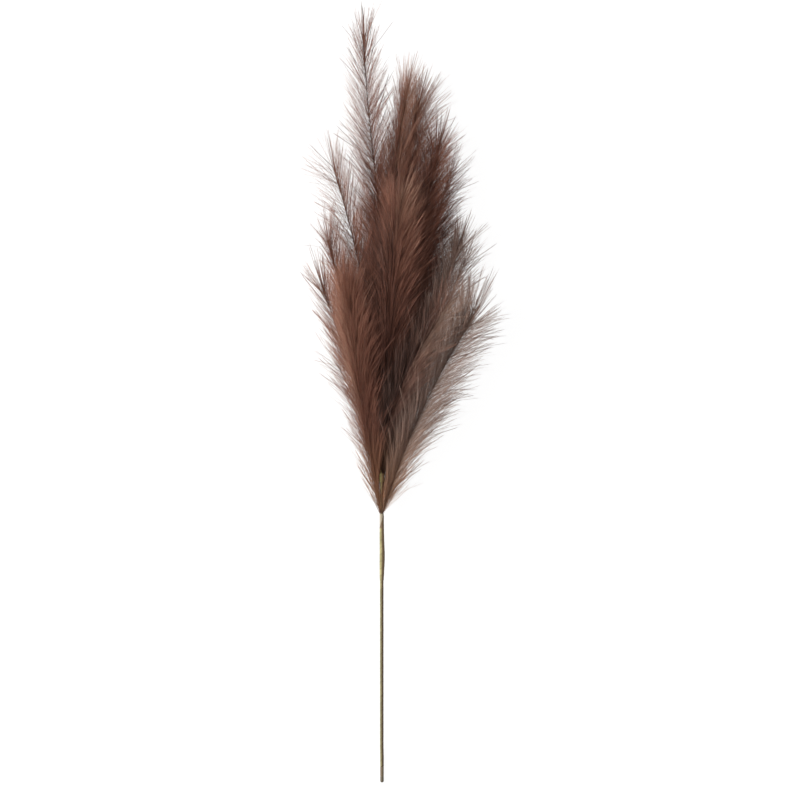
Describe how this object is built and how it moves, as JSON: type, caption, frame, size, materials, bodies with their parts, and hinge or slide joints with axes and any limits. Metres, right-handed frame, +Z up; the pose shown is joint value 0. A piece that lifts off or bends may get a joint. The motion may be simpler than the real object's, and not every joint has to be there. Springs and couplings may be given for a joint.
{
  "type": "artificial pampas grass stem",
  "caption": "Artificial pampas grass spray lying on its side: a straight tape-wrapped wire stem that carries tiers of long feathery brown fibre sprigs.",
  "frame": {"origin": "centre of the spray's outline, on the surface that it lies on", "axes": "+Y along the stem from its cut foot to the plume's tip, +Z up off the surface, +X across the plume"},
  "size_m": [0.2836, 1.1498, 0.088],
  "materials": {
    "stem_tape": "olive waxed stem tape, matte",
    "foot_cap": "tan, matte",
    "pale_collar": "cream, matte",
    "plume_fibre": "fine reddish-brown synthetic fibre"
  },
  "bodies": {
    "root": {"stem": "stem_tape", "foot_cap": "foot_cap", "neck_wrap": "stem_tape", "neck_collar": "pale_collar", "binding_tier_2": "stem_tape", "binding_tier_3": "stem_tape", "binding_tier_4": "stem_tape", "sprig_tall_left": "plume_fibre", "sprig_left_upper": "plume_fibre", "sprig_left_middle": "plume_fibre", "sprig_left_lower": "plume_fibre", "sprig_left_bottom": "plume_fibre", "sprig_top_centre": "plume_fibre", "sprig_top_back": "plume_fibre", "sprig_right_upper": "plume_fibre", "sprig_right_upper_back": "plume_fibre", "sprig_right_middle": "plume_fibre", "sprig_right_middle_back": "plume_fibre", "sprig_right_bottom_front": "plume_fibre", "sprig_right_front_short": "plume_fibre", "sprig_centre_front": "plume_fibre", "sprig_left_front": "plume_fibre"}
  },
  "joints": []
}
